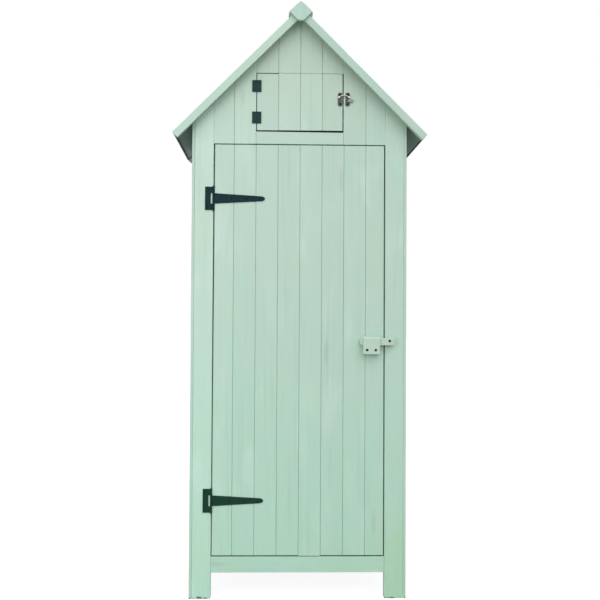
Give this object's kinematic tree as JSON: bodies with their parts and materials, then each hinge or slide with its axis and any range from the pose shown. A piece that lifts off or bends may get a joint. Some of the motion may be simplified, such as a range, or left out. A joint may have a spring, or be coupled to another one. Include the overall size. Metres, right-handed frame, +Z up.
{
  "type": "wooden garden shed",
  "caption": "Narrow free-standing wooden tool shed with a steep pitched roof, a full-height side-hung door on strap hinges, a drop-bar latch and a small hatch in the gable.",
  "frame": {"origin": "on the ground under the middle of the shed", "axes": "+X to the right across the front, +Y from the front to the back, +Z up"},
  "size_m": [0.766, 0.54, 1.7967],
  "materials": {
    "painted_boards": "thin mint green paint over sawn softwood, grain showing through",
    "painted_frame": "the same mint green paint on rougher softwood",
    "roofing_felt": "dark mineral-grained bitumen felt",
    "black_iron": "black paint on pressed steel",
    "nickel_plate": "worn nickel plate"
  },
  "bodies": {
    "shed": {"front_left_post": "painted_boards", "front_right_post": "painted_boards", "back_left_post": "painted_boards", "back_right_post": "painted_boards", "leg_boards": "painted_boards", "left_wall": "painted_boards", "right_wall": "painted_boards", "back_wall": "painted_boards", "base_rails": "painted_boards", "gable_left_boards": "painted_boards", "gable_right_boards": "painted_boards", "gable_top_boards": "painted_boards", "hatch_sill": "painted_boards", "hatch_panel": "painted_boards", "left_roof_battens": "painted_boards", "right_roof_battens": "painted_boards", "front_left_barge": "painted_boards", "front_right_barge": "painted_boards", "back_left_barge": "painted_boards", "back_right_barge": "painted_boards", "left_ridge_board": "painted_boards", "right_ridge_board": "painted_boards", "finials": "painted_boards", "mid_rails": "painted_frame", "wall_plates": "painted_frame", "head_rails": "painted_frame", "floor_boards": "painted_frame", "floor_bearers": "painted_frame", "loft_floor": "painted_frame", "loft_bearers": "painted_frame", "door_stops": "painted_frame", "hatch_ledges": "painted_frame", "left_roof_deck": "painted_frame", "right_roof_deck": "painted_frame", "left_roof_felt": "roofing_felt", "right_roof_felt": "roofing_felt", "hatch_hinges": "black_iron", "hinge_plates": "black_iron", "hatch_catch": "nickel_plate"},
    "door": {"door_panel": "painted_boards", "door_ledges": "painted_frame", "hinge_straps": "black_iron", "latch_hook": "painted_boards", "latch_bar": "painted_boards"}
  },
  "joints": [
    {"name": "door_hinge", "type": "hinge", "parent": "shed", "child": "door", "pos_m": [-0.261, -0.2182, 0.75], "axis": [0, 0, -1], "range_deg": [0, 180]}
  ]
}
